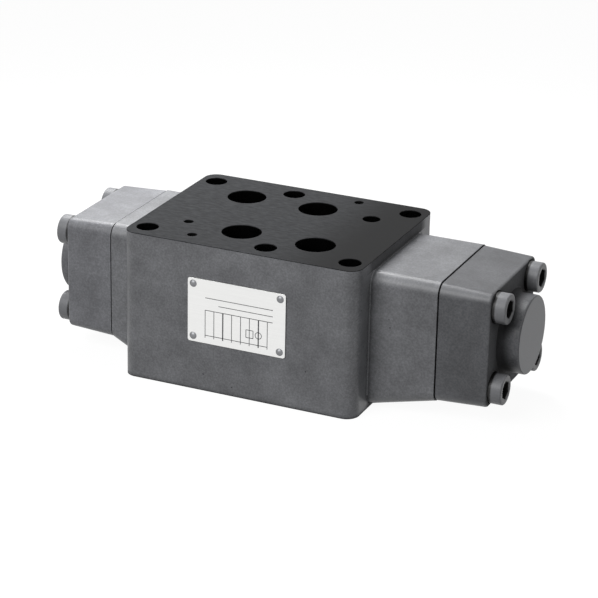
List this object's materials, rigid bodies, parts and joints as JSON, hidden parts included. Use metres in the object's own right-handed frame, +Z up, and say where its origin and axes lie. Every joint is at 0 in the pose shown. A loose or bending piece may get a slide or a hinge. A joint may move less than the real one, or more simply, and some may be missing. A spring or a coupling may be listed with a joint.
{
  "type": "hydraulic sandwich valve",
  "caption": "Cast valve block with flat ported faces, bolt holes and screwed end covers with round bosses, which stacks under a directional valve and holds pilot operated check poppets.",
  "frame": {"origin": "on the underside, below the middle of the centre bore, which is the middle of the covers", "axes": "+X along the bore towards the B side cover, +Y to the back, away from the nameplate, +Z up through the top face"},
  "size_m": [0.299, 0.1199, 0.092],
  "materials": {
    "body_iron": "phosphated grey casting, ground top and base",
    "cover_iron": "phosphated grey casting",
    "screw_steel": "black oxide",
    "hard_steel": "hardened and ground",
    "spring_steel": "drawn wire",
    "nitrile": "moulded",
    "plate_aluminium": "satin"
  },
  "bodies": {
    "housing": {"valve_body": "body_iron", "left_cover": "cover_iron", "right_cover": "cover_iron", "left_cover_screws": "screw_steel", "right_cover_screws": "screw_steel", "left_cover_o_ring": "nitrile", "right_cover_o_ring": "nitrile", "left_seat": "hard_steel", "right_seat": "hard_steel", "left_seat_o_ring": "nitrile", "right_seat_o_ring": "nitrile", "left_spring": "spring_steel", "right_spring": "spring_steel", "p_port_o_ring": "nitrile", "t_port_o_ring": "nitrile", "a_port_o_ring": "nitrile", "b_port_o_ring": "nitrile", "x_port_o_ring": "nitrile", "y_port_o_ring": "nitrile", "nameplate": "plate_aluminium", "nameplate_rivets": "plate_aluminium"},
    "pilot_piston": {"pilot_piston": "hard_steel"},
    "left_poppet": {"left_poppet": "hard_steel"},
    "right_poppet": {"right_poppet": "hard_steel"}
  },
  "joints": [
    {"name": "pilot_slide", "type": "slide", "parent": "housing", "child": "pilot_piston", "axis": [1, 0, 0], "range_m": [-0.0024, 0.0024]},
    {"name": "left_poppet_lift", "type": "slide", "parent": "housing", "child": "left_poppet", "axis": [-1, 0, 0], "range_m": [0, 0.008], "stiffness_N_per_m": 2000, "springref_m": -0.01, "deforming": ["left_spring"]},
    {"name": "right_poppet_lift", "type": "slide", "parent": "housing", "child": "right_poppet", "axis": [1, 0, 0], "range_m": [0, 0.008], "stiffness_N_per_m": 2000, "springref_m": -0.01, "deforming": ["right_spring"]}
  ]
}
